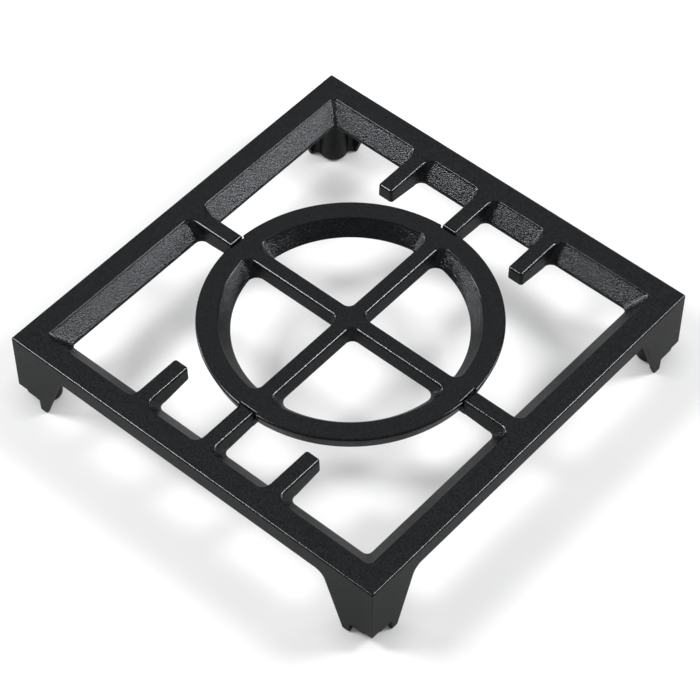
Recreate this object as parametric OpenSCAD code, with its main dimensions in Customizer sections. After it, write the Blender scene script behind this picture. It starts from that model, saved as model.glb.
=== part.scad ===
// Cast iron grate for a gas burner: a square frame on four corner feet, with
// four arms and four fingers reaching inwards, and a loose round centre ring
// with a cross, which drops in between the arms and hangs on their ends.
// Origin: centre of the footprint, on the surface the feet stand on. +Z is up.

/* [Frame] */
// Outer length of the frame along X, at the top
frame_x = 235; // [224:1:300]
// Outer length of the frame along Y, at the top, across the fingers
frame_y = 240; // [224:1:300]
// Height of the top face above the surface the feet stand on
frame_h = 45; // [38:0.5:70]
// Width of the flat top of each bar
bar_w = 12.2; // [9:0.1:15]
// Depth of each bar from its top face to its underside
bar_depth = 10.6; // [9:0.1:13]
// How far the inner wall of a bar spreads out towards its underside
bar_flare = 8.4; // [4:0.1:9.5]
// Height of the upright lip at the foot of that sloping wall
bar_lip = 1.9; // [1:0.1:3]
// Lean of the outer walls, for release from the mould, in degrees
draft = 0.8; // [0.2:0.1:2]
// Radius of the outer top edges and the upright corners
edge_r = 1.1; // [0.5:0.1:2]
// Radius in the four inner corners of the frame
corner_r = 3; // [1.5:0.1:5]

/* [Arms and fingers] */
// Width of the four arms that carry the ring
arm_w = 8.8; // [6:0.1:10]
// Width of the four short fingers
finger_w = 8.8; // [6:0.1:11]
// Distance from each finger to the arm beside it, middle to middle
finger_pitch = 42.9; // [30:0.1:50]
// Depth of the arms where they reach the ring
arm_depth = 9.5; // [8.5:0.1:10.5]
// Depth of the fingers at their tips
tip_depth = 8.5; // [6:0.1:10]
// How much wider each side of an arm or finger is at the underside
side_spread = 0.35; // [0.1:0.05:0.6]
// Radius where arms and fingers run into the frame
root_r = 4; // [2:0.1:5]

/* [Centre ring] */
// Outer diameter of the ring at the top
ring_d = 154.8; // [130:0.2:160]
// Width of the flat top of the ring
ring_w = 11.2; // [8:0.1:14]
// Depth of the ring from its top face to its underside
ring_depth = 8.9; // [7.5:0.1:9.5]
// How far the inner wall of the ring spreads in towards its underside
ring_flare = 7.3; // [2:0.1:8]
// How far the outer wall of the ring leans in towards its underside
ring_lean = 3.1; // [1:0.1:3.5]
// Width of the two crossed spokes at the top
spoke_w = 8.5; // [5:0.1:12]
// How much wider each side of a spoke is at the underside
spoke_spread = 0.9; // [0.3:0.1:2]
// Radius where the spokes cross and where they meet the ring
spoke_r = 4; // [2:0.1:6]
// Width of the flat notch in the rim in front of each arm
notch_w = 10.8; // [10:0.1:16]
// Depth of that notch, measured from the outer rim
notch_depth = 2.1; // [0.8:0.1:2.5]

/* [Seat of the ring] */
// How far the top of the ring sits below the top of the frame
ring_sink = 0.5; // [0:0.1:1]
// Gap between the end of an arm and the notch in the rim
ring_gap = 0.9; // [0.4:0.1:2]
// Depth below the top face at which the ring hangs on the arms
seat_drop = 5; // [4:0.1:6]
// Length of the tongue that reaches under the rim
tongue_l = 5.6; // [3.5:0.1:6.5]
// Clearance round each tongue in its pocket
seat_gap = 0.5; // [0.2:0.05:1]

/* [Feet] */
// Length of each foot wall, from the corner, where it meets the bar
foot_top_l = 31.5; // [26:0.5:40]
// Length of each foot wall, from the corner, at the ground
foot_base_l = 19.5; // [18:0.5:24]
// Thickness of the two walls of a foot
foot_wall = 4.3; // [3.5:0.1:6]
// Radius where a foot runs into the underside of the bar
foot_r = 6; // [3:0.5:8]
// Width of the toe at the end of each foot wall
toe_w = 4.7; // [3.5:0.1:6]
// Thickness of a toe
toe_t = 3; // [2:0.1:3.4]
// Height of the foot wall above the ground between the toe and the corner
arch_h = 7; // [4:0.5:9]
// Extra height of the arch right at the corner
corner_lift = 1.4; // [0.5:0.1:2.5]
// Length of that higher stretch, from the corner
corner_l = 6.5; // [4:0.5:9]
// Diameter of the round post inside each foot
post_d = 15; // [12:0.5:17]
// Distance of the post's centre from both outer walls
post_inset = 10.6; // [9:0.1:11.5]
// Height of the post's lower end above the ground
post_lift = 1; // [0.5:0.1:4]
// Radius round the lower end of the post
post_r = 1.6; // [0.5:0.1:3]
// Radius of the hollow in which the post runs into the walls
web_r = 2; // [1:0.1:2.2]
// Height of the lower end of the webs beside the post
web_lift = 1.6; // [1:0.1:5]

/* [Hidden] */
$fn = 96;

round_sides = 32;
past = 2;
lap = 0.4;
toe_r = 1;
half = [frame_x / 2, frame_y / 2];
bar_bottom = frame_h - bar_depth;
bar_base_w = bar_w + bar_flare;
slope_depth = bar_depth - bar_lip;
corner_lip_r = 0.7 * corner_r;
ring_r = ring_d / 2;
ring_top = frame_h - ring_sink;
ring_bottom = ring_top - ring_depth;
notch_floor = ring_r - notch_depth;
arm_end = notch_floor + ring_gap;
tongue_end = arm_end - tongue_l;
seat_z = frame_h - seat_drop;
arm_z = frame_h - arm_depth;
tip_z = frame_h - tip_depth;
iron = [0.16, 0.16, 0.17];

function unit(v) = v / norm(v);
function bar_slope(side) = unit([-side.x * slope_depth, -side.y * slope_depth, bar_flare]);

// Section of the filler in a corner of the given angle: the two straight
// sides, which reach a little behind the faces, and a hollow arc between them.
module filler_section(angle, r) {
    reach = r / tan(angle / 2);
    back = lap / sin(angle / 2);
    difference() {
        polygon([
            -back * [cos(angle / 2), sin(angle / 2)],
            [reach, -lap],
            [reach, r],
            reach * [cos(angle), sin(angle)] + lap * [-sin(angle), cos(angle)]
        ]);
        translate([reach, r]) circle(r);
    }
}

// Filler along the line where two faces meet. n1 and n2 are the normals of
// the faces on the side that is filled, and at is a point on the line.
module filler(at, n1, n2, r, length) {
    along1 = unit(n2 - (n1 * n2) * n1);
    along2 = unit(n1 - (n1 * n2) * n2);
    axis = unit(cross(along1, along2));
    up = cross(axis, along1);
    multmatrix([
        [along1.x, up.x, axis.x, at.x],
        [along1.y, up.y, axis.y, at.y],
        [along1.z, up.z, axis.z, at.z],
        [0, 0, 0, 1]
    ])
        linear_extrude(height = length, center = true)
            filler_section(acos(along1 * along2), r);
}

// Prism along X or Y whose section is wider or narrower at the bottom
module wedge(top_half, bottom_half, z_top, z_bottom, length) {
    rotate([90, 0, 0])
        linear_extrude(height = length, center = true)
            polygon([
                [-bottom_half, z_bottom],
                [bottom_half, z_bottom],
                [top_half, z_top],
                [-top_half, z_top]
            ]);
}

// Upper half of a ball, for the rounded top corners
module half_ball(r) {
    rotate_extrude($fn = round_sides)
        intersection() {
            circle(r, $fn = round_sides);
            square(r);
        }
}

// Outer form of the casting: leaning walls, rounded top edges and rounded corners
module outer_block() {
    centre = half - [edge_r, edge_r];
    lean_in = frame_h * tan(draft);
    hull()
        for (x = [-1, 1], y = [-1, 1]) {
            translate([x * centre.x, y * centre.y, frame_h - edge_r]) half_ball(edge_r);
            translate([x * (centre.x - lean_in), y * (centre.y - lean_in), 0])
                cylinder(r = edge_r, h = lap / 10, $fn = round_sides);
        }
}

// Opening inside the frame: it narrows downwards between the sloping walls
module frame_opening() {
    rise = past / slope_depth * bar_flare;
    drop = (bar_lip + past) / slope_depth * bar_flare;
    top = half - [bar_w, bar_w] + [rise, rise];
    base = half - [bar_base_w, bar_base_w] - [drop, drop];
    intersection() {
        wedge(top.x, base.x, frame_h + past, bar_bottom - past, frame_y);
        rotate(90) wedge(top.y, base.y, frame_h + past, bar_bottom - past, frame_x);
    }
}

// Upright opening that trims the foot of the sloping walls to a lip
module lip_opening() {
    base = half - [bar_base_w, bar_base_w];
    translate([-base.x, -base.y, bar_bottom - past])
        cube([2 * base.x, 2 * base.y, bar_lip + past]);
}

// Upright filler in a corner of the lip, from below the underside up to the slope
module lip_filler(at, side, r) {
    translate([at.x, at.y, bar_bottom - past])
        mirror([side.x < 0 ? 1 : 0, 0])
            mirror([0, side.y < 0 ? 1 : 0])
                linear_extrude(height = bar_lip + past) filler_section(90, r);
}

module frame_corner_fillers() {
    for (x = [-1, 1], y = [-1, 1])
        filler([x * (half.x - bar_w), y * (half.y - bar_w), frame_h],
            bar_slope([x, 0]), bar_slope([0, y]), corner_r, 4 * bar_base_w);
}

module lip_corner_fillers() {
    base = half - [bar_base_w, bar_base_w];
    for (x = [-1, 1], y = [-1, 1])
        lip_filler([x * base.x, y * base.y], [-x, -y], corner_lip_r);
}

// Arm or finger that points inwards from the side of the frame at +Y.
// The profile is in the plane of its length and height.
module inward_bar(root, width, tongue) {
    taper_start = root - bar_base_w - 1.5 * root_r;
    profile = concat(
        [[root, frame_h], [root, bar_bottom], [taper_start, bar_bottom]],
        tongue
            ? [[arm_end, arm_z], [tongue_end, arm_z], [tongue_end, seat_z], [arm_end, seat_z],
                [arm_end, frame_h]]
            : [[arm_end, tip_z], [arm_end, frame_h]]
    );
    intersection() {
        rotate([90, 0, 90])
            linear_extrude(height = 2 * width, center = true) polygon(profile);
        wedge(width / 2, width / 2 + side_spread, frame_h, bar_bottom, 2 * root);
    }
}

// Fillers on both sides of an arm or finger, where it leaves the sloping wall
module root_fillers(root, width) {
    for (x = [-1, 1])
        filler([x * width / 2, root - bar_w, frame_h], unit([x * bar_depth, 0, side_spread]),
            bar_slope([0, 1]), root_r, 4 * bar_base_w);
}

module lip_root_fillers(root, width) {
    for (x = [-1, 1])
        lip_filler([x * (width / 2 + side_spread), root - bar_base_w], [x, -1], root_r);
}

module rooted_bar(root, width, tongue, at_lip) {
    inward_bar(root, width, tongue);
    if (at_lip) lip_root_fillers(root, width);
    else root_fillers(root, width);
}

// All arms and fingers, with the fillers of the sloping walls or those of the lips
module inward_bars(at_lip) {
    for (turn = [0, 180])
        rotate(turn) {
            rooted_bar(half.y, arm_w, true, at_lip);
            rotate(90) rooted_bar(half.x, arm_w, true, at_lip);
            for (x = [-1, 1])
                translate([x * finger_pitch, 0, 0])
                    rooted_bar(half.y, finger_w, false, at_lip);
        }
}

// The square of four bars, with the arms and fingers left standing in its opening
module top_grid() {
    difference() {
        translate([-half.x - past, -half.y - past, bar_bottom])
            cube([frame_x + 2 * past, frame_y + 2 * past, bar_depth]);
        difference() {
            frame_opening();
            frame_corner_fillers();
            inward_bars(at_lip = false);
        }
        difference() {
            lip_opening();
            lip_corner_fillers();
            inward_bars(at_lip = true);
        }
    }
}

// Outline of one foot wall: x runs from the corner along the bar, y is the height
module foot_outline() {
    lean = atan2(bar_bottom, foot_top_l - foot_base_l);
    toe_start = foot_base_l - toe_w;
    difference() {
        polygon([
            [-past, arch_h + corner_lift],
            [corner_l, arch_h + corner_lift],
            [corner_l, arch_h],
            [toe_start, arch_h],
            [toe_start, 0],
            [foot_base_l, 0],
            [foot_top_l, bar_bottom],
            [foot_top_l, bar_bottom + lap],
            [-past, bar_bottom + lap]
        ]);
        translate([foot_base_l, 0]) rotate(lean) filler_section(180 - lean, toe_r);
        translate([toe_start, 0]) filler_section(90, toe_r);
    }
    translate([foot_top_l, bar_bottom]) rotate(lean - 180) filler_section(180 - lean, foot_r);
}

// Foot wall that stands along X, in the corner at the origin, its outer face at y = 0
module foot_side() {
    difference() {
        translate([0, foot_wall, 0]) rotate([90, 0, 0])
            linear_extrude(height = foot_wall + past) foot_outline();
        translate([corner_l, toe_t, -past])
            cube([foot_top_l, foot_wall, arch_h + past]);
    }
}

module foot_post() {
    translate([post_inset, post_inset, 0])
        rotate_extrude()
            difference() {
                translate([0, post_lift]) square([post_d / 2, bar_bottom + lap - post_lift]);
                translate([post_d / 2, post_lift]) rotate(90) filler_section(90, post_r);
            }
}

// Web between the post and the wall that stands along X, with its toe
module foot_web() {
    toe_start = foot_base_l - toe_w;
    middle_y = foot_wall + web_r;
    reach = post_d / 2 + web_r - lap / 4;
    middle_x = post_inset + sqrt(pow(reach, 2) - pow(post_inset - middle_y, 2));
    translate([0, 0, web_lift])
        linear_extrude(height = bar_bottom + lap - web_lift)
            difference() {
                polygon([
                    [post_inset, post_inset],
                    [post_inset, toe_t + lap],
                    [toe_start, toe_t + lap],
                    [toe_start + lap, toe_t - lap],
                    [middle_x, toe_t - lap],
                    [middle_x, middle_y]
                ]);
                translate([middle_x, middle_y]) circle(web_r);
            }
}

// One foot in the corner at the origin: two walls at right angles, and a post with its webs
module foot() {
    for (flip = [0, 1])
        mirror([flip, -flip, 0]) {
            foot_side();
            foot_web();
        }
    foot_post();
}

module feet() {
    for (x = [0, 1], y = [0, 1])
        mirror([x, 0, 0]) mirror([0, y, 0]) translate([-half.x, -half.y, 0]) foot();
}

module grate_frame() {
    color(iron)
        intersection() {
            outer_block();
            union() {
                top_grid();
                feet();
            }
        }
}

// Solid disc of the ring's outer form: flat top, rounded edge, leaning outer wall
module disc() {
    lean = atan2(ring_depth, ring_lean);
    rotate_extrude($fn = 180)
        difference() {
            polygon([
                [0, ring_top],
                [0, ring_bottom],
                [ring_r - ring_lean, ring_bottom],
                [ring_r, ring_top]
            ]);
            translate([ring_r, ring_top]) rotate(180) filler_section(lean, edge_r);
        }
}

// Opening inside the ring: it narrows downwards between the sloping walls
module ring_opening() {
    top_in = ring_r - ring_w;
    rise = past / ring_depth * ring_flare;
    translate([0, 0, ring_bottom - past])
        cylinder(r1 = top_in - ring_flare - rise, r2 = top_in + rise,
            h = ring_depth + 2 * past, $fn = 180);
}

module spokes() {
    for (turn = [0, 90])
        rotate(turn)
            wedge(spoke_w / 2, spoke_w / 2 + spoke_spread, ring_top, ring_bottom,
                2 * (ring_r - ring_w / 2));
}

// Fillers at the crossing of the spokes and where each one meets the rim
module spoke_fillers() {
    side = spoke_w / 2;
    rim_in = sqrt(pow(ring_r - ring_w - ring_flare / 2, 2) - side * side);
    mid_z = ring_top - ring_depth / 2;
    mid_side = side + spoke_spread / 2;
    rim_turn = asin(mid_side / (ring_r - ring_w - ring_flare / 2));
    spoke_face = unit([ring_depth, 0, spoke_spread]);
    rim_face = unit([-sin(rim_turn) * ring_depth, -cos(rim_turn) * ring_depth, ring_flare]);
    for (turn = [0:90:270])
        rotate(turn) {
            filler([side, side, ring_top], spoke_face,
                [spoke_face.y, spoke_face.x, spoke_face.z], spoke_r, 4 * ring_depth);
            for (flip = [0, 1])
                mirror([flip, 0, 0])
                    filler([mid_side, rim_in, mid_z], spoke_face, rim_face,
                        spoke_r, 6 * ring_depth);
        }
}

// Flat in the rim in front of each arm, and the pocket under it for the tongue
module arm_seats() {
    pocket_end = tongue_end - seat_gap;
    pocket_w = arm_w + 2 * side_spread + 2 * seat_gap;
    for (turn = [0:90:270])
        rotate(turn) {
            translate([notch_floor, -notch_w / 2, ring_bottom - past])
                cube([ring_w, notch_w, ring_depth + 2 * past]);
            translate([pocket_end, -pocket_w / 2, ring_bottom - past])
                cube([ring_w + ring_flare, pocket_w, seat_z - ring_bottom + past]);
        }
}

module center_ring() {
    color(iron)
        difference() {
            disc();
            difference() {
                ring_opening();
                spokes();
                spoke_fillers();
            }
            arm_seats();
        }
}

grate_frame();
center_ring();
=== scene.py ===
"""Looks of the gas burner grate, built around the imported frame.

Two castings are made: the square frame with its arms, fingers and feet, and the loose
ring with its cross. Every wall is a row of upright columns, so that each edge gets its
own rounding and each corner its own hollow. Lengths are in metres; z is up.
"""

import math

import bmesh
import bpy
import numpy as np
from bpy.props import FloatProperty, FloatVectorProperty, IntProperty, PointerProperty
from mathutils import Matrix, Vector
from mathutils.geometry import tessellate_polygon


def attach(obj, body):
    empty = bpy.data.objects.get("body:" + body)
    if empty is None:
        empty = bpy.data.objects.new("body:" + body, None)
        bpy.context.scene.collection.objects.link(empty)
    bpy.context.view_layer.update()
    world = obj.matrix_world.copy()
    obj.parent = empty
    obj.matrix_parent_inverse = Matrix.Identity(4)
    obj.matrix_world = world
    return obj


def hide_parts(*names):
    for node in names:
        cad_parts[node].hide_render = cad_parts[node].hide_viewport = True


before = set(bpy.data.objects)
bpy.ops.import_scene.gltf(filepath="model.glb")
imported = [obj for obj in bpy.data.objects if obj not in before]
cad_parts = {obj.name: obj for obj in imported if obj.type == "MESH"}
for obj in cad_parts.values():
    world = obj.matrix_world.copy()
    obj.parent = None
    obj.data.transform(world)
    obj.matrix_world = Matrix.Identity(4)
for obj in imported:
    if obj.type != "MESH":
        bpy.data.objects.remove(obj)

bl_info = {
    "name": "Gas Burner Grate",
    "version": (1, 0, 0),
    "blender": (4, 5, 0),
    "location": "3D View > Sidebar > Grate",
    "description": "Builds a cast iron burner grate and its loose centre ring",
    "category": "Add Mesh",
}

MM = 0.001
QUARTER = math.pi / 2
SHARP_ANGLE = math.radians(38)
JOIN_DISTANCE = 4e-6
EMPTY_EDGE = 2e-6
SAME_PLACE = 1e-6

# How many columns stand round a feature, or along a quarter of the ring
HOLLOW_COLUMNS = 11
CORNER_COLUMNS = 9
TIP_COLUMNS = 7
EDGE_COLUMNS = 5
POST_COLUMNS = 64
RIM_COLUMNS = 40
WINDOW_COLUMNS = 29

GLOSS_TINT = (0.91, 0.95, 1, 1)
WORLD_TINT = (0.92, 0.96, 1, 1)
WORLD_STRENGTH = 0.12
FLOOR_REACH = 4
SEEN_TONE = (0.58, 0.58, 0.58, 1)
UNSEEN_TONE = (0.24, 0.24, 0.24, 1)
GLOW = 0.42
GLOW_IN_GLOSS = 0.15
# Reach of the painted contact shadow in the floor's glow
PAINTED_SHADOW_REACH = 16 * MM

# Name, place, width and height in metres, and power in watts
LIGHTS = (
    ("left_key", (-0.80, -0.72, 1.32), (0.45, 0.45), 18),
    ("right_key", (0.85, 0.80, 1.24), (0.45, 0.45), 18),
    ("left_panel", (-1.5, -0.56, 0.52), (0.4, 0.4), 9),
    ("right_panel", (1.0, 1.34, 0.5), (0.45, 0.4), 6.5),
    ("back", (-0.9, 1.05, 1.7), (1.6, 1.6), 1.5),
)

CAMERA_PLACE = Vector((0.610107, -0.701814, 1.160448))
CAMERA_TARGET = Vector((0.013969, -0.016473, 0.045))
CAMERA_ROLL = math.radians(0.0997)
CAMERA_LENS = 150.774


def length(name, description, size):
    """A length property, its size given in millimetres."""
    return FloatProperty(name=name, description=description, default=size * MM, unit="LENGTH")


class GrateProperties(bpy.types.PropertyGroup):
    """Sizes and looks of the grate."""

    frame_x: length("Frame X", "Outer length of the frame along X", 235)
    frame_y: length("Frame Y", "Outer length of the frame along Y", 240)
    frame_h: length("Height", "Height of the top face above the ground", 45)
    bar_w: length("Bar width", "Width of the flat top of each bar", 12.2)
    bar_depth: length("Bar depth", "Depth of each bar", 10.6)
    bar_flare: length("Bar flare", "How far the inner wall spreads downwards", 8.4)
    bar_lip: length("Bar lip", "Height of the upright lip under the sloping wall", 1.9)
    draft_in: length("Draft", "How far the outer walls lean in at the ground", 0.62)
    edge_r: length("Outer edge", "Radius of the outer edges and corners", 1.1)
    corner_r: length("Inner corner", "Radius of the hollows in the frame's corners", 3)
    top_r: length("Top edge", "Rounding of the top edges of arms, fingers and spokes", 1.4)
    crest_r: length("Crest", "Rounding where the top meets a sloping wall", 0.2)
    knee_r: length("Knee", "Rounding between the sloping wall and its lip", 1.2)
    low_r: length("Lower edge", "Rounding of the lower edges", 0.8)

    arm_w: length("Arm width", "Width of the four arms", 8.8)
    finger_w: length("Finger width", "Width of the four fingers", 8.8)
    finger_pitch: length("Finger pitch", "Distance from an arm to the finger beside it", 42.9)
    arm_end: length("Arm end", "Distance from the middle to the ends of arms and fingers", 76.2)
    arm_depth: length("Arm depth", "Depth of the arms at their ends", 9.5)
    tip_depth: length("Tip depth", "Depth of the fingers at their tips", 8.5)
    tip_r: length("Tip corner", "Radius of the upright corners of the fingers' tips", 1.6)
    arm_r: length("Arm corner", "Radius of the upright corners of the arms' ends", 0.6)
    side_spread: length("Side spread", "Widening of each side of an arm downwards", 0.35)
    root_r: length("Root radius", "Radius where arms and fingers leave the bars", 4)

    foot_top_l: length("Foot top", "Length of a foot wall at the bar", 31.5)
    foot_base_l: length("Foot base", "Length of a foot wall at the ground", 19.5)
    foot_wall: length("Foot wall", "Thickness of a foot wall", 4.3)
    foot_r: length("Foot radius", "Radius where a foot runs into the bar", 6)
    foot_hollow: length("Foot hollow", "Radius inside, where a foot meets the underside", 1.2)
    toe_w: length("Toe width", "Width of a toe", 4.7)
    toe_t: length("Toe thickness", "Thickness of a toe", 3)
    toe_r: length("Toe radius", "Radius of the lower corners of a toe", 1)
    arch_h: length("Arch height", "Height of a foot wall between toe and corner", 7)
    corner_lift: length("Corner lift", "Extra height of the arch at the corner", 1.4)
    corner_l: length("Corner length", "Length of that higher stretch", 6.5)
    post_r: length("Post radius", "Radius of the post inside a foot", 7.5)
    post_inset: length("Post inset", "Distance of a post's axis from both outer walls", 10.6)
    post_lift: length("Post lift", "Height of a post's lower end", 1)
    post_edge: length("Post edge", "Rounding of a post's lower end", 1.6)
    web_r: length("Web radius", "Radius of the hollow in which a post runs into the walls", 2)
    web_lift: length("Web lift", "Height of the lower end of the webs beside a post", 1.6)

    ring_r: length("Ring radius", "Outer radius of the ring", 77.4)
    ring_w: length("Ring width", "Width of the ring's flat top", 11.2)
    ring_depth: length("Ring depth", "Depth of the ring", 8.9)
    ring_sink: length("Ring sink", "How far the ring's top lies below the frame's top", 0.5)
    ring_flare: length("Ring flare", "How far the inner wall spreads downwards", 7.3)
    ring_lean: length("Ring lean", "How far the outer wall leans in downwards", 3.1)
    spoke_w: length("Spoke width", "Width of the two spokes at the top", 8.5)
    spoke_spread: length("Spoke spread", "Widening of each side of a spoke downwards", 0.9)
    spoke_r: length("Spoke radius", "Radius of the hollow where the spokes cross", 4)
    rim_r: length("Rim radius", "Radius of the hollow where a spoke meets the rim", 4.6)
    notch_w: length("Notch width", "Width of the flat in the rim in front of an arm", 10.8)
    notch_depth: length("Notch depth", "Depth of that flat", 2.1)
    seat_drop: length("Seat drop", "Depth at which the ring hangs on the tongues", 5)
    tongue_l: length("Tongue length", "Length of a tongue under the rim", 5.6)
    seat_gap: length("Seat gap", "Clearance round a tongue", 0.5)

    grain_size: length("Grain size", "Size of the grain of the sand mould", 0.62)
    wave_size: length("Wave size", "Size of the slow waves in the cast faces", 9)
    wear_size: length("Wear size", "Size of the patches of handling wear", 26)
    grain_depth: length("Grain depth", "Height of the grain", 0.155)
    wave_depth: length("Wave depth", "Height of the slow waves", 0.25)
    ground_depth: length("Ground depth", "How far below a top face its grinding reaches", 0.4)
    ground_grain: FloatProperty(
        name="Ground grain", description="Share of the grain left on a ground top face", default=0.25
    )
    roughness: FloatVectorProperty(
        name="Roughness", description="Least and greatest roughness", size=2, default=(0.14, 0.18)
    )
    enamel_colour: FloatVectorProperty(
        name="Enamel",
        description="Colour of the enamel",
        subtype="COLOR",
        default=(0.0055, 0.0057, 0.0061),
    )
    mottle: FloatVectorProperty(
        name="Mottle", description="Least and greatest share of that colour", size=2, default=(0.2, 2.6)
    )
    round_steps: IntProperty(name="Rounding steps", description="Faces across a rounding", default=6)


# Outlines and walls


def rounded(points, radii, steps):
    """Open outline through the points, with every corner between its ends rounded."""
    points = [np.array(point, float) for point in points]
    path = [points[0]]
    for before, corner, after, radius in zip(points, points[1:], points[2:], radii):
        one = (before - corner) / np.linalg.norm(before - corner)
        two = (after - corner) / np.linalg.norm(after - corner)
        half = math.acos(one @ two) / 2
        turn = math.pi - 2 * half
        centre = corner + (one + two) / np.linalg.norm(one + two) * radius / math.sin(half)
        start = corner + one * radius / math.tan(half) - centre
        end = corner + two * radius / math.tan(half) - centre
        for t in np.linspace(0, 1, steps + 1):
            arm = start * math.sin((1 - t) * turn) + end * math.sin(t * turn)
            path.append(centre + arm / math.sin(turn))
    path.append(points[-1])
    return np.array(path)


def wall(points, radii):
    """Two functions of the height: where a wall stands, and how far its roundings draw it back.

    The points run downwards, from one on the level top to one on the level underside."""
    curve = rounded(points, radii, 24)[1:-1][::-1]
    sharp = np.array(points[1:-1])[::-1]

    def place(z):
        return np.interp(z, curve[:, 1], curve[:, 0])

    def drawn(z):
        return abs(np.interp(z, sharp[:, 1], sharp[:, 0]) - place(z))

    return place, drawn


def edge_heights(top, low, top_r, low_r, steps):
    """Heights of the rows in the upper and in the lower rounding of a wall."""
    turn = np.linspace(0, QUARTER, steps + 1)
    return top - top_r * (1 - np.cos(turn)), low + low_r * (1 - np.sin(turn))


def edge_draw(z, top, low, top_r, low_r):
    """How far an upright wall draws back at the heights z because of its rounded edges."""
    above = np.clip(z - (top - top_r), 0, top_r)
    below = np.clip(low + low_r - z, 0, low_r)
    return top_r - np.sqrt(top_r**2 - above**2) + low_r - np.sqrt(low_r**2 - below**2)


def columns_to_faces(columns, closed=True):
    """Faces between neighbouring columns, as rows of vertex numbers."""
    count, rows = len(columns), len(columns[0])
    faces = []
    for i in range(count if closed else count - 1):
        j = (i + 1) % count
        for k in range(rows - 1):
            faces.append((i * rows + k, j * rows + k, j * rows + k + 1, i * rows + k + 1))
    return faces


class Shell:
    """Vertices and faces of one casting while it is put together."""

    def __init__(self):
        self.points = []
        self.faces = []

    def add_columns(self, columns, closed=True):
        """Adds a wall and returns its vertex numbers, column by column."""
        first, rows = len(self.points), len(columns[0])
        for column in columns:
            self.points.extend(tuple(point) for point in column)
        self.faces.extend(
            tuple(first + n for n in face) for face in columns_to_faces(columns, closed)
        )
        return [[first + i * rows + k for k in range(rows)] for i in range(len(columns))]

    def add_point(self, point):
        self.points.append(tuple(point))
        return len(self.points) - 1

    def outline(self, numbers):
        """The loop of vertices without those that repeat the one before."""
        kept = []
        for n in numbers:
            if not kept or math.dist(self.points[n], self.points[kept[-1]]) > SAME_PLACE:
                kept.append(n)
        if math.dist(self.points[kept[0]], self.points[kept[-1]]) < SAME_PLACE:
            kept.pop()
        return kept

    def cap(self, *loops):
        """Fills the flat area inside the first loop and outside the others."""
        loops = [self.outline(loop) for loop in loops]
        flat = [n for loop in loops for n in loop]
        areas = [[Vector((*self.points[n][:2], 0)) for n in loop] for loop in loops]
        self.faces.extend(tuple(flat[i] for i in three) for three in tessellate_polygon(areas))

    def mesh(self, name):
        """The closed mesh: doubles joined, empty faces gone, normals outwards."""
        mesh = bpy.data.meshes.new(name)
        mesh.from_pydata(self.points, [], self.faces)
        form = bmesh.new()
        form.from_mesh(mesh)
        bmesh.ops.remove_doubles(form, verts=form.verts, dist=JOIN_DISTANCE)
        bmesh.ops.dissolve_degenerate(form, edges=form.edges, dist=EMPTY_EDGE)
        bmesh.ops.recalc_face_normals(form, faces=form.faces)
        for face in form.faces:
            face.smooth = True
        form.to_mesh(mesh)
        form.free()
        return mesh


# The frame


def frame_rows(p):
    """Heights of the rows down the inner walls, and how far each follows the underside.

    Two rows lie on the slope and five round the knee, between the two rounded edges."""
    low = p.frame_h - p.bar_depth
    knee = low + p.bar_lip
    upper, lower = edge_heights(p.frame_h, low, p.top_r, p.low_r, p.round_steps)
    slope = [knee + 5 * MM, knee + 2.5 * MM]
    bend = np.linspace(knee + 0.55 * MM, knee - 0.45 * MM, 5)
    heights = np.concatenate([upper, slope, bend, lower])
    follow = np.clip((slope[0] - heights) / (slope[0] - bend[0]), 0, 1)
    return heights, follow


def bar_wall(p):
    """The inner wall of a bar: distances are measured from the outer face."""
    low = p.frame_h - p.bar_depth
    base = p.bar_w + p.bar_flare
    level = 5 * MM
    return wall(
        [
            (p.bar_w - level, p.frame_h),
            (p.bar_w, p.frame_h),
            (base, low + p.bar_lip),
            (base, low),
            (base - level, low),
        ],
        [p.crest_r, p.knee_r, p.low_r],
    )


def branch_columns(p, root, width, tip_depth, tip_r):
    """One side of an arm or finger, from the bar to the middle of its end.

    Returns the columns as (u, v, z), with u across and v outwards, and the number of
    the column at which its underside starts to rise."""
    heights, follow = frame_rows(p)
    low = p.frame_h - p.bar_depth
    place, drawn = bar_wall(p)
    slope = math.hypot(p.bar_depth - p.bar_lip, p.bar_flare)
    knee = low + p.bar_lip
    reach = np.interp(
        heights,
        [knee - 0.5 * MM, knee + 0.5 * MM],
        [p.root_r, p.root_r * slope / (p.bar_depth - p.bar_lip)],
    )
    taper = root - p.bar_w - p.bar_flare - 1.5 * p.root_r

    def side(z):
        return width / 2 + p.side_spread * (p.frame_h - z) / p.bar_depth

    columns = []
    back = edge_draw(heights, p.frame_h, low, p.top_r, p.low_r)
    u0 = side(heights) + p.root_r
    v0 = root - place(heights) - drawn(heights) - reach
    for turn in np.linspace(0, QUARTER, HOLLOW_COLUMNS):
        u = u0 - (p.root_r + back) * math.sin(turn)
        v = v0 + (reach + drawn(heights)) * math.cos(turn)
        columns.append(np.stack([u, v, heights], axis=1))

    start = len(columns)
    corner = p.arm_end + tip_r
    places = [(v, 0) for v in np.linspace(taper, corner, 5)[:-1]]
    for turn in np.linspace(0, QUARTER, TIP_COLUMNS):
        places.append((corner - tip_r * math.sin(turn), turn))
    for v, turn in places:
        under = low + (p.bar_depth - tip_depth) * (taper - v) / (taper - p.arm_end)
        z = heights + follow * (under - low)
        back = edge_draw(z, p.frame_h, under, p.top_r, p.low_r)
        u = side(z) - tip_r + (tip_r - back) * math.cos(turn)
        columns.append(np.stack([u, v + back * math.sin(turn), z], axis=1))
    return columns, start


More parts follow.
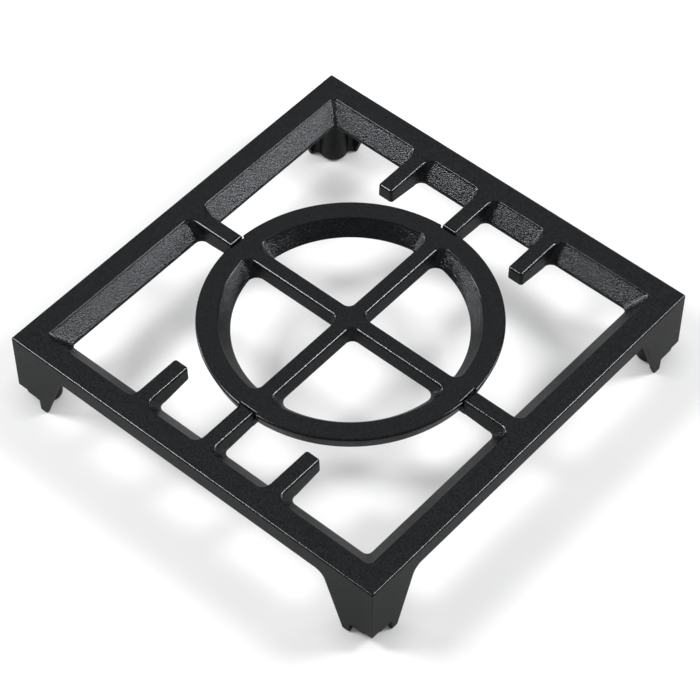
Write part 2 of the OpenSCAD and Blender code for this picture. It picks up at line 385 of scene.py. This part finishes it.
def corner_columns(p, across, root):
    """The hollow in the inner corner that follows a side, turning from it to the next."""
    heights, _ = frame_rows(p)
    place, drawn = bar_wall(p)
    inset = place(heights) + drawn(heights) + p.corner_r
    columns = []
    for turn in np.linspace(0, QUARTER, CORNER_COLUMNS):
        u = -(across - inset) - (p.corner_r + drawn(heights)) * math.sin(turn)
        v = root - inset + (p.corner_r + drawn(heights)) * math.cos(turn)
        columns.append(np.stack([u, v, heights], axis=1))
    return columns


def turned(points, quarters):
    """The points turned about the z axis by a number of quarter turns."""
    x, y, z = np.asarray(points).T
    for _ in range(quarters):
        x, y = -y, x
    return np.stack([x, y, z], axis=1)


def inner_loop(p):
    """Columns all round the opening, and the column numbers of both sides of each branch."""
    arm, finger = (p.arm_w, p.arm_depth, p.arm_r), (p.finger_w, p.tip_depth, p.tip_r)
    loop, branches = [], []
    for quarters in range(4):
        root, across, sides = p.frame_x / 2, p.frame_y / 2, [(0, arm)]
        if quarters % 2 == 0:
            root, across = across, root
            sides = [(p.finger_pitch, finger), (0, arm), (-p.finger_pitch, finger)]
        for middle, sizes in sides:
            columns, start = branch_columns(p, root, *sizes)
            first, count = len(loop), len(columns)
            last = first + 2 * count - 1
            for column in columns:
                loop.append(turned(column + [middle, 0, 0], quarters))
            for column in columns[::-1]:
                loop.append(turned(column * [-1, 1, 1] + [middle, 0, 0], quarters))
            branches.append([(first + i, last - i) for i in range(start, count)])
        for column in corner_columns(p, across, root):
            loop.append(turned(column, quarters))
    return loop, branches


def foot_outline(p, half_length):
    """Lower edge of the frame seen from outside, from a corner to the middle of a side.

    Returns points (distance from the corner, height) and the direction into the metal."""
    low = p.frame_h - p.bar_depth
    slant = 0.12 * MM
    toe = p.foot_base_l - p.toe_w
    points = [
        (p.edge_r, p.arch_h + p.corner_lift),
        (p.corner_l - slant, p.arch_h + p.corner_lift),
        (p.corner_l + slant, p.arch_h),
        (toe - slant, p.arch_h),
        (toe + slant, 0),
        (p.foot_base_l, 0),
        (p.foot_top_l, low),
        (half_length, low),
    ]
    # The two corners of the arch's step, the toe's three corners, the run into the bar
    path = rounded(points, [0.3 * MM, 1 * MM, 0.5 * MM, p.toe_r, p.toe_r, p.foot_r], 5)
    along = np.gradient(path, axis=0)
    along /= np.linalg.norm(along, axis=1)[:, None]
    into = np.stack([-along[:, 1], along[:, 0]], axis=1)
    return path, into


def outer_column(p, place, into, level):
    """One column from the top edge down the outer wall, under it and up the foot's inside.

    place is where it meets the lower edge, and level its distance from the corner at the
    top. Returns (distance from the corner, depth behind the outer face, height)."""
    low = p.frame_h - p.bar_depth
    s, h = place
    turn = np.linspace(0, QUARTER, p.round_steps + 1)
    top_edge = p.frame_h - p.edge_r
    column = [(level, p.edge_r * (1 - math.sin(a)), top_edge + p.edge_r * math.cos(a)) for a in turn]

    def lean(z):
        return p.draft_in * (1 - min(z / top_edge, 1))

    for a in turn:
        d = p.low_r * (1 - math.sin(a))
        z = h + into[1] * d
        column.append((s + into[0] * d, lean(z) + p.low_r * (1 - math.cos(a)), z))

    # A toe is thinner than the wall above it, to which its inside steps at the arch's height
    in_toe = h < p.arch_h - 0.05 * MM
    thick = p.toe_t if in_toe else p.foot_wall
    room = 0.3 * (low - h)
    inner_r = min(p.low_r, room)
    for a in turn:
        d = inner_r * (1 - math.cos(a))
        column.append((s + into[0] * d, thick - inner_r * (1 - math.sin(a)), h + into[1] * d))
    if in_toe:
        column += [(s, thick, p.arch_h), (s, p.foot_wall, p.arch_h)]
    else:
        column += [column[-1], column[-1]]
    hollow = min(p.foot_hollow, room)
    for a in turn[::2]:
        depth, z = p.foot_wall + hollow * (1 - math.cos(a)), low - hollow * (1 - math.sin(a))
        column.append((level, depth, z))
    return np.array(column)


def outer_loop(p):
    """Columns all round the outside, corner by corner."""
    loop = []
    least_step = 0.3 * MM
    for side_x, side_y in ((-1, 1), (-1, -1), (1, -1), (1, 1)):

        def placed(a, b, depth, z):
            """A column at the distances a and b from the two outer faces of this corner."""
            a, b = np.maximum(a, depth), np.maximum(b, depth)
            return np.stack([side_x * (p.frame_x / 2 - a), side_y * (p.frame_y / 2 - b), z], axis=1)

        along_x, along_y, turn_in = [], [], []
        for half, side in ((p.frame_x / 2, along_x), (p.frame_y / 2, along_y)):
            path, into = foot_outline(p, half)
            level = p.edge_r
            for place, way in zip(path[1:], into[1:]):
                level = max(place[0], level + least_step)
                s, depth, z = outer_column(p, place, way, level).T
                a, b = (s, depth) if side is along_x else (depth, s)
                side.append(placed(a, b, depth, z))
        start = (p.edge_r, p.arch_h + p.corner_lift)
        _, depth, z = outer_column(p, start, (0, 1), p.edge_r).T
        near = p.edge_r - depth
        for turn in np.linspace(0, QUARTER, EDGE_COLUMNS):
            a, b = p.edge_r - near * math.sin(turn), p.edge_r - near * math.cos(turn)
            turn_in.append(placed(a, b, depth, z))
        if side_x != side_y:
            loop += along_x[-2::-1] + turn_in + along_y
        else:
            loop += along_y[-2::-1] + turn_in[::-1] + along_x
    return loop


def frame_shell(p):
    """The square frame with its arms, fingers, tongues and foot walls."""
    shell = Shell()
    inner, branches = inner_loop(p)
    inner = shell.add_columns(inner)
    outer = shell.add_columns(outer_loop(p))
    shell.cap([column[0] for column in outer], [column[0] for column in inner])
    beyond = set()
    for pairs in branches:
        for (a, b), (c, d) in zip(pairs, pairs[1:]):
            shell.faces.append((inner[a][-1], inner[b][-1], inner[d][-1], inner[c][-1]))
            beyond |= {c, d}
    under = [column[-1] for i, column in enumerate(inner) if i not in beyond]
    shell.cap([column[-1] for column in outer], under)
    add_tongues(shell, p)
    add_webs(shell, p)
    return shell


def add_tongues(shell, p):
    """The tongues that reach from the ends of the arms to under the ring."""
    wider = 0.3 * MM
    half = p.arm_w / 2 + wider
    sunk = 1.2 * MM
    top = p.frame_h - p.seat_drop
    low = p.frame_h - p.arm_depth + 0.05 * MM
    outline = rounded(
        [(half, sunk), (half, -p.tongue_l), (-half, -p.tongue_l), (-half, sunk)],
        [p.low_r, p.low_r],
        p.round_steps,
    )
    for quarters in range(4):
        columns = []
        for u, v in outline:
            rows = [(u, p.arm_end + v, z) for z in np.linspace(top, low, 3)]
            columns.append(turned(rows, quarters))
        numbers = shell.add_columns(columns)
        shell.cap([column[0] for column in numbers])
        shell.cap([column[-1] for column in numbers])


def add_webs(shell, p):
    """The two webs of each foot, which join its post to its toes.

    Each is sunk a little into post, wall and bar. Its outline starts at the post's axis and
    ends in the hollow between post and wall."""
    sunk = 1 * MM
    top = p.frame_h - p.bar_depth + sunk
    toe = p.foot_base_l - p.toe_w
    bevel = 0.4 * MM
    face, inside = p.toe_t + bevel, p.toe_t - bevel
    middle_y = p.foot_wall + p.web_r
    reach = p.post_r + p.web_r
    middle_x = p.post_inset + math.sqrt(reach**2 - (p.post_inset - middle_y) ** 2)
    last = math.atan2(p.post_inset - middle_y, p.post_inset - middle_x)
    outline = [
        (p.post_inset, p.post_inset - sunk),
        (p.post_inset, face),
        (toe, face),
        (toe + bevel, inside),
        (middle_x, inside),
    ]
    for a in np.linspace(-QUARTER, last - 2 * math.pi, CORNER_COLUMNS):
        outline.append((middle_x + p.web_r * math.cos(a), middle_y + p.web_r * math.sin(a)))
    for flip in (1, -1):
        for side_x, side_y in ((-1, -1), (-1, 1), (1, -1), (1, 1)):
            columns = []
            for a, b in outline:
                a, b = (a, b)[::flip]
                x, y = side_x * (p.frame_x / 2 - a), side_y * (p.frame_y / 2 - b)
                columns.append([(x, y, z) for z in (top, p.web_lift)])
            numbers = shell.add_columns(columns)
            shell.cap([column[0] for column in numbers])
            shell.cap([column[-1] for column in numbers])


def post_shell(p):
    """One round post, its axis on the z axis, with its upper end sunk in the bars."""
    sunk = 2 * MM
    top = p.frame_h - p.bar_depth + sunk
    path = rounded(
        [(0, top), (p.post_r, top), (p.post_r, p.post_lift), (0, p.post_lift)],
        [0.5 * MM, p.post_edge],
        p.round_steps,
    )
    columns = []
    for a in np.linspace(0, 2 * math.pi, POST_COLUMNS, endpoint=False):
        columns.append([(r * math.cos(a), r * math.sin(a), z) for r, z in path])
    shell = Shell()
    shell.add_columns(columns)
    return shell


# The ring


def ring_walls(p):
    """Outer and inner wall of the ring: distances are measured from its middle."""
    top = p.frame_h - p.ring_sink
    low = top - p.ring_depth
    rim = p.ring_r - p.ring_w
    outside, inside = p.ring_r - p.ring_lean, rim - p.ring_flare
    level = 4 * MM
    outer = wall(
        [(p.ring_r - level, top), (p.ring_r, top), (outside, low), (outside - level, low)],
        [p.edge_r, p.low_r],
    )
    inner = wall(
        [(rim + level, top), (rim, top), (inside, low), (inside + level, low)],
        [p.crest_r, p.low_r],
    )
    return outer, inner


def mirrored(columns):
    """The columns mirrored in the plane x = y, in the order in which they follow."""
    return [column[:, [1, 0, 2]] for column in columns[::-1]]


def rim_columns(p):
    """A quarter of the ring's outside, from the middle of one notch to that of the next."""
    top = p.frame_h - p.ring_sink
    low = top - p.ring_depth
    seat = p.frame_h - p.seat_drop
    upper, lower = edge_heights(top, low, p.edge_r, p.low_r, p.round_steps)
    z = np.concatenate([upper, [seat, seat], lower])
    in_pocket = np.arange(len(z)) > len(upper)
    (radius, _), _ = ring_walls(p)
    radius = radius(z)
    pocket_end = p.arm_end - p.tongue_l - p.seat_gap
    pocket = p.arm_w / 2 + p.side_spread + p.seat_gap
    notch = p.notch_w / 2
    flat = p.ring_r - p.notch_depth - edge_draw(z, top, low, p.low_r, p.low_r)

    def seat_column(y, hollow):
        x = np.minimum(flat, np.sqrt(radius**2 - y**2))
        if hollow:
            x = np.where(in_pocket, pocket_end, x)
        return np.stack([x, np.full_like(z, y), z], axis=1)

    places = ((0, True), (pocket, True), (pocket, False), (notch, False))
    seat_part = [seat_column(y, hollow) for y, hollow in places]
    rim_part = []
    start = np.arcsin(notch / radius)
    for t in np.linspace(0, 1, RIM_COLUMNS):
        a = start + t * (QUARTER - 2 * start)
        rim_part.append(np.stack([radius * np.cos(a), radius * np.sin(a), z], axis=1))
    return seat_part + rim_part + mirrored(seat_part)


def window_columns(p):
    """The wall round one of the four openings between the spokes."""
    top = p.frame_h - p.ring_sink
    low = top - p.ring_depth
    upper, lower = edge_heights(top, low, p.top_r, p.low_r, p.round_steps)
    z = np.concatenate([upper, np.linspace(upper[-1], lower[0], 4)[1:-1], lower])
    _, (radius, drawn) = ring_walls(p)
    rim_back = drawn(z)
    back = edge_draw(z, top, low, p.top_r, p.low_r)
    side = p.spoke_w / 2 + p.spoke_spread * (top - z) / p.ring_depth
    rim = radius(z) - rim_back

    def column(x, y):
        return np.stack([x, y, z], axis=1)

    crossing, half, rim_part = [], [], []
    centre = side + p.spoke_r
    for a in np.linspace(-QUARTER, -2 * QUARTER, HOLLOW_COLUMNS):
        reach = p.spoke_r + back
        crossing.append(column(centre + reach * math.cos(a), centre + reach * math.sin(a)))
    x0 = side + p.rim_r
    y0 = np.sqrt((rim - p.rim_r) ** 2 - x0**2)
    for t in (0.25, 0.5, 0.75):
        half.append(column(side - back, centre + t * (y0 - centre)))
    turn = np.arctan2(y0, x0)
    for t in np.linspace(0, 1, HOLLOW_COLUMNS):
        a = math.pi + t * (turn - math.pi)
        reach = p.rim_r + back + t * (rim_back - back)
        half.append(column(x0 + reach * np.cos(a), y0 + reach * np.sin(a)))
    for t in np.linspace(0, 1, WINDOW_COLUMNS + 2)[1:-1]:
        a = turn + t * (QUARTER - 2 * turn)
        rim_part.append(column(radius(z) * np.cos(a), radius(z) * np.sin(a)))
    return crossing + half + rim_part + mirrored(half)


def quarter_shell(p):
    """A quarter of the ring, cut along the middles of two spokes."""
    shell = Shell()
    rim = shell.add_columns(rim_columns(p), closed=False)
    window = shell.add_columns(window_columns(p))
    top = p.frame_h - p.ring_sink
    for row, z in ((0, top), (-1, top - p.ring_depth)):
        middle = shell.add_point((0, 0, z))
        shell.cap([middle] + [column[row] for column in rim], [column[row] for column in window])
    return shell


# Node trees


def new_group(name, kind, inputs, outputs):
    """An empty node group with its sockets, and its input and output nodes."""
    tree = bpy.data.node_groups.new(name, kind)
    for direction, sockets in (("INPUT", inputs), ("OUTPUT", outputs)):
        for socket_name, socket_type in sockets:
            tree.interface.new_socket(socket_name, in_out=direction, socket_type=socket_type)
    return tree, tree.nodes.new("NodeGroupInput"), tree.nodes.new("NodeGroupOutput")


def repeat_tree():
    """Repeats a form on a set of points: round the z axis, or on the corners of a rectangle."""
    tree, given, result = new_group(
        "Repeat form",
        "GeometryNodeTree",
        [
            ("Geometry", "NodeSocketGeometry"),
            ("Rows", "NodeSocketInt"),
            ("Size X", "NodeSocketFloat"),
            ("Size Y", "NodeSocketFloat"),
            ("Turn", "NodeSocketFloat"),
            ("Join distance", "NodeSocketFloat"),
            ("Material", "NodeSocketMaterial"),
        ],
        [("Geometry", "NodeSocketGeometry")],
    )
    nodes, link = tree.nodes, tree.links.new
    grid = nodes.new("GeometryNodeMeshGrid")
    index = nodes.new("GeometryNodeInputIndex")
    angle = nodes.new("ShaderNodeMath")
    angle.operation = "MULTIPLY"
    rotation = nodes.new("ShaderNodeCombineXYZ")
    place = nodes.new("GeometryNodeInstanceOnPoints")
    realize = nodes.new("GeometryNodeRealizeInstances")
    join = nodes.new("GeometryNodeMergeByDistance")
    paint = nodes.new("GeometryNodeSetMaterial")
    link(given.outputs["Size X"], grid.inputs["Size X"])
    link(given.outputs["Size Y"], grid.inputs["Size Y"])
    link(given.outputs["Rows"], grid.inputs["Vertices X"])
    link(given.outputs["Rows"], grid.inputs["Vertices Y"])
    link(index.outputs["Index"], angle.inputs[0])
    link(given.outputs["Turn"], angle.inputs[1])
    link(angle.outputs[0], rotation.inputs["Z"])
    link(grid.outputs["Mesh"], place.inputs["Points"])
    link(given.outputs["Geometry"], place.inputs["Instance"])
    link(rotation.outputs[0], place.inputs["Rotation"])
    link(place.outputs["Instances"], realize.inputs["Geometry"])
    link(realize.outputs["Geometry"], join.inputs["Geometry"])
    link(given.outputs["Join distance"], join.inputs["Distance"])
    link(join.outputs["Geometry"], paint.inputs["Geometry"])
    link(given.outputs["Material"], paint.inputs["Material"])
    link(paint.outputs["Geometry"], result.inputs["Geometry"])
    return tree


def repeated(mesh, size, turn, material):
    """The mesh repeated on the four corners of a rectangle, as a plain mesh."""
    tree = bpy.data.node_groups.get("Repeat form") or repeat_tree()
    source = bpy.data.objects.new(mesh.name, mesh)
    bpy.context.scene.collection.objects.link(source)
    modifier = source.modifiers.new("Repeat", "NODES")
    modifier.node_group = tree
    values = {
        "Rows": 2,
        "Size X": size[0],
        "Size Y": size[1],
        "Turn": turn,
        "Join distance": JOIN_DISTANCE,
        "Material": material,
    }
    for item in tree.interface.items_tree:
        if item.in_out == "INPUT" and item.name in values:
            modifier[item.identifier] = values[item.name]
    evaluated = source.evaluated_get(bpy.context.evaluated_depsgraph_get())
    result = bpy.data.meshes.new_from_object(evaluated)
    source.modifiers.remove(modifier)
    bpy.data.objects.remove(source)
    return result


# Materials


def shader_node(tree, kind, **settings):
    """A new node with its settings and the values of its input sockets."""
    node = tree.nodes.new(kind)
    for key, value in settings.items():
        if key in node.inputs:
            node.inputs[key].default_value = value
        else:
            setattr(node, key, value)
    return node


def maths(tree, operation, *values):
    """The result of a math node on numbers and other sockets."""
    node = shader_node(tree, "ShaderNodeMath", operation=operation)
    for socket, value in zip(node.inputs, values):
        if isinstance(value, float):
            socket.default_value = value
        else:
            tree.links.new(value, socket)
    return node.outputs[0]


def ramp(tree, value, span, result=(0.0, 1.0)):
    """A value that runs through the result while the given one runs through the span."""
    names = ("From Min", "From Max", "To Min", "To Max")
    node = shader_node(tree, "ShaderNodeMapRange", **dict(zip(names, (*span, *result))))
    tree.links.new(value, node.inputs["Value"])
    return node


def cast_group():
    """Surface of a sand casting under enamel.

    Grain is a depth below the tops of small domes, less on the top face, which is ground.
    Specks, Waves and Wear are noises of three sizes."""
    name = "Cast surface"
    if name in bpy.data.node_groups:
        return bpy.data.node_groups[name]
    sizes = ("Grain size", "Wave size", "Wear size")
    ground = ("Top height", "Ground depth", "Ground grain")
    results = ("Grain", "Specks", "Waves", "Wear")
    tree, given, result = new_group(
        name,
        "ShaderNodeTree",
        [(socket, "NodeSocketFloat") for socket in sizes + ground],
        [(socket, "NodeSocketFloat") for socket in results],
    )
    link = tree.links.new
    place = shader_node(tree, "ShaderNodeTexCoord").outputs["Object"]
    scales = [maths(tree, "DIVIDE", 1.0, given.outputs[size]) for size in sizes]
    for scale, output, detail, rough in zip(scales, results[1:], (1.0, 1.0, 4.0), (0.5, 0.5, 0.6)):
        noise = shader_node(tree, "ShaderNodeTexNoise", Detail=detail, Roughness=rough)
        link(place, noise.inputs["Vector"])
        link(scale, noise.inputs["Scale"])
        link(noise.outputs["Fac"], result.inputs[output])
    domes = shader_node(tree, "ShaderNodeTexVoronoi", feature="F1", Randomness=1.0)
    link(place, domes.inputs["Vector"])
    link(scales[0], domes.inputs["Scale"])
    drop = maths(tree, "MULTIPLY", domes.outputs["Distance"], domes.outputs["Distance"])
    height = shader_node(tree, "ShaderNodeSeparateXYZ")
    link(place, height.inputs[0])
    below = maths(tree, "SUBTRACT", given.outputs["Top height"], height.outputs["Z"])
    # Ground as far as the ground depth, and full grain from twice that depth on
    share = maths(tree, "DIVIDE", below, given.outputs["Ground depth"])
    rising = ramp(tree, share, (1.0, 2.0))
    link(given.outputs["Ground grain"], rising.inputs["To Min"])
    grain = maths(tree, "MULTIPLY", drop, rising.outputs["Result"])
    link(grain, result.inputs["Grain"])
    return tree


def enamel(p, name, top):
    """Satin black enamel over cast iron, for a piece whose top face is at the height top."""
    material = bpy.data.materials.new(name)
    material.use_nodes = True
    tree = material.node_tree
    link = tree.links.new
    shader = tree.nodes["Principled BSDF"]
    shader.inputs["Specular Tint"].default_value = GLOSS_TINT
    values = {
        "Grain size": p.grain_size,
        "Wave size": p.wave_size,
        "Wear size": p.wear_size,
        "Top height": top,
        "Ground depth": p.ground_depth,
        "Ground grain": p.ground_grain,
    }
    cast = shader_node(tree, "ShaderNodeGroup", node_tree=cast_group(), **values)
    waves = shader_node(tree, "ShaderNodeBump", Strength=0.2, Distance=p.wave_depth)
    grain = shader_node(tree, "ShaderNodeBump", Strength=1.0, Distance=p.grain_depth, invert=True)
    link(cast.outputs["Waves"], waves.inputs["Height"])
    link(cast.outputs["Grain"], grain.inputs["Height"])
    link(waves.outputs["Normal"], grain.inputs["Normal"])
    link(grain.outputs["Normal"], shader.inputs["Normal"])
    noise_span = (0.35, 0.65)
    rough = ramp(tree, cast.outputs["Wear"], noise_span, p.roughness)
    link(rough.outputs["Result"], shader.inputs["Roughness"])
    dark, light = [(*[share * c for c in p.enamel_colour], 1) for share in p.mottle]
    tint = shader_node(tree, "ShaderNodeMix", data_type="RGBA", A=dark, B=light)
    specks = ramp(tree, cast.outputs["Specks"], noise_span)
    link(specks.outputs["Result"], tint.inputs["Factor"])
    link(tint.outputs["Result"], shader.inputs["Base Color"])
    return material


def floor_paper():
    """Pale paper that shows part of its brightness as a glow, so that it looks white.

    The glow is for the camera, faint in gloss and glass, and it fades where something stands, which
    paints a contact shadow on the paper."""
    material = bpy.data.materials.new("floor_paper")
    material.use_nodes = True
    tree = material.node_tree
    link = tree.links.new
    shader = tree.nodes["Principled BSDF"]
    shader.inputs["Roughness"].default_value = 0.9
    shader.inputs["Specular IOR Level"].default_value = 0.0
    shader.inputs["Emission Color"].default_value = (1, 1, 1, 1)
    path = shader_node(tree, "ShaderNodeLightPath").outputs
    bounced = maths(tree, "MAXIMUM", path["Is Glossy Ray"], path["Is Transmission Ray"])
    seen = maths(tree, "MAXIMUM", path["Is Camera Ray"], maths(tree, "MULTIPLY", bounced, GLOW_IN_GLOSS))
    tone = shader_node(tree, "ShaderNodeMix", data_type="RGBA", A=UNSEEN_TONE, B=SEEN_TONE)
    link(seen, tone.inputs["Factor"])
    link(tone.outputs["Result"], shader.inputs["Base Color"])
    # Painted contact shadow: ambient occlusion dims the glow near the grate and under its feet
    painted_shadow = shader_node(tree, "ShaderNodeAmbientOcclusion", Distance=PAINTED_SHADOW_REACH)
    glow = maths(tree, "MULTIPLY", seen, GLOW)
    link(maths(tree, "MULTIPLY", glow, painted_shadow.outputs["AO"]), shader.inputs["Emission Strength"])
    return material


# Operators


def weighted(obj):
    """Gives the object's mesh normals in which the flat faces count most."""
    modifier = obj.modifiers.new("Normals", "WEIGHTED_NORMAL")
    modifier.keep_sharp = True
    evaluated = obj.evaluated_get(bpy.context.evaluated_depsgraph_get())
    mesh = bpy.data.meshes.new_from_object(evaluated)
    obj.modifiers.remove(modifier)
    obj.data = mesh


def finished_piece(name, meshes, material, node):
    """One object made of the closed meshes, riding on the body and standing for the node."""
    form = bmesh.new()
    for mesh in meshes:
        form.from_mesh(mesh)
    if not form.faces or any(not edge.is_manifold for edge in form.edges):
        form.free()
        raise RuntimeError(f"{name} isn't closed")
    bmesh.ops.recalc_face_normals(form, faces=form.faces)
    joined = bpy.data.meshes.new(name)
    form.to_mesh(joined)
    form.free()
    joined.materials.clear()
    joined.materials.append(material)
    joined.set_sharp_from_angle(angle=SHARP_ANGLE)
    piece = bpy.data.objects.new(name, joined)
    bpy.context.scene.collection.objects.link(piece)
    weighted(piece)
    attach(piece, "root")
    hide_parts(node)
    return piece


class GRATE_OT_frame(bpy.types.Operator):
    """Build the square frame with its arms, fingers and feet"""

    bl_idname = "grate.frame"
    bl_label = "Frame"

    def execute(self, context):
        p = context.scene.grate
        material = enamel(p, "frame_enamel", p.frame_h)
        spread = (p.frame_x - 2 * p.post_inset, p.frame_y - 2 * p.post_inset)
        posts = repeated(post_shell(p).mesh("posts"), spread, 0, material)
        body = frame_shell(p).mesh("frame")
        finished_piece("frame_casting", [body, posts], material, "grate_frame")
        return {"FINISHED"}


class GRATE_OT_ring(bpy.types.Operator):
    """Build the loose centre ring with its cross"""

    bl_idname = "grate.ring"
    bl_label = "Centre Ring"

    def execute(self, context):
        p = context.scene.grate
        material = enamel(p, "ring_enamel", p.frame_h - p.ring_sink)
        ring = repeated(quarter_shell(p).mesh("quarter"), (0, 0), QUARTER, material)
        finished_piece("ring_casting", [ring], material, "center_ring")
        return {"FINISHED"}


def area_light(name, place, size, power):
    """A soft light that faces the middle of the grate."""
    data = bpy.data.lights.new(name, "AREA")
    data.shape = "RECTANGLE"
    data.size, data.size_y = size
    data.energy = power
    light = bpy.data.objects.new(name, data)
    light.location = place
    light.rotation_euler = (-Vector(place)).to_track_quat("-Z", "Y").to_euler()
    bpy.context.scene.collection.objects.link(light)


class GRATE_OT_stage(bpy.types.Operator):
    """Build the floor, the lights and the camera"""

    bl_idname = "grate.stage"
    bl_label = "Stage"

    def execute(self, context):
        scene = context.scene
        scene.view_settings.view_transform = "Standard"
        mesh = bpy.data.meshes.new("floor")
        sides = ((-1, -1), (1, -1), (1, 1), (-1, 1))
        corners = [(x * FLOOR_REACH, y * FLOOR_REACH, 0) for x, y in sides]
        mesh.from_pydata(corners, [], [(0, 1, 2, 3)])
        mesh.materials.append(floor_paper())
        floor = bpy.data.objects.new("floor", mesh)
        scene.collection.objects.link(floor)

        world = bpy.data.worlds.new("studio")
        world.use_nodes = True
        background = world.node_tree.nodes["Background"]
        background.inputs["Color"].default_value = WORLD_TINT
        background.inputs["Strength"].default_value = WORLD_STRENGTH
        scene.world = world
        for light in LIGHTS:
            area_light(*light)

        data = bpy.data.cameras.new("camera")
        data.lens = CAMERA_LENS
        data.clip_start, data.clip_end = 0.05, 50
        camera = bpy.data.objects.new("camera", data)
        way = CAMERA_TARGET - CAMERA_PLACE
        look = way.to_track_quat("-Z", "Y").to_matrix()
        roll = Matrix.Rotation(CAMERA_ROLL, 3, way)
        camera.matrix_world = Matrix.Translation(CAMERA_PLACE) @ (roll @ look).to_4x4()
        scene.collection.objects.link(camera)
        scene.camera = camera
        return {"FINISHED"}


class GRATE_PT_panel(bpy.types.Panel):
    """Buttons for the parts of the scene"""

    bl_label = "Burner Grate"
    bl_idname = "GRATE_PT_panel"
    bl_space_type = "VIEW_3D"
    bl_region_type = "UI"
    bl_category = "Grate"

    def draw(self, context):
        for operator in (GRATE_OT_frame, GRATE_OT_ring, GRATE_OT_stage):
            self.layout.operator(operator.bl_idname)


CLASSES = (GrateProperties, GRATE_OT_frame, GRATE_OT_ring, GRATE_OT_stage, GRATE_PT_panel)


def register():
    for cls in CLASSES:
        bpy.utils.register_class(cls)
    bpy.types.Scene.grate = PointerProperty(type=GrateProperties)


def unregister():
    del bpy.types.Scene.grate
    for cls in reversed(CLASSES):
        bpy.utils.unregister_class(cls)


def main():
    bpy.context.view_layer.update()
    register()
    bpy.ops.grate.frame()
    bpy.ops.grate.ring()
    bpy.ops.grate.stage()


if __name__ == "__main__":
    main()
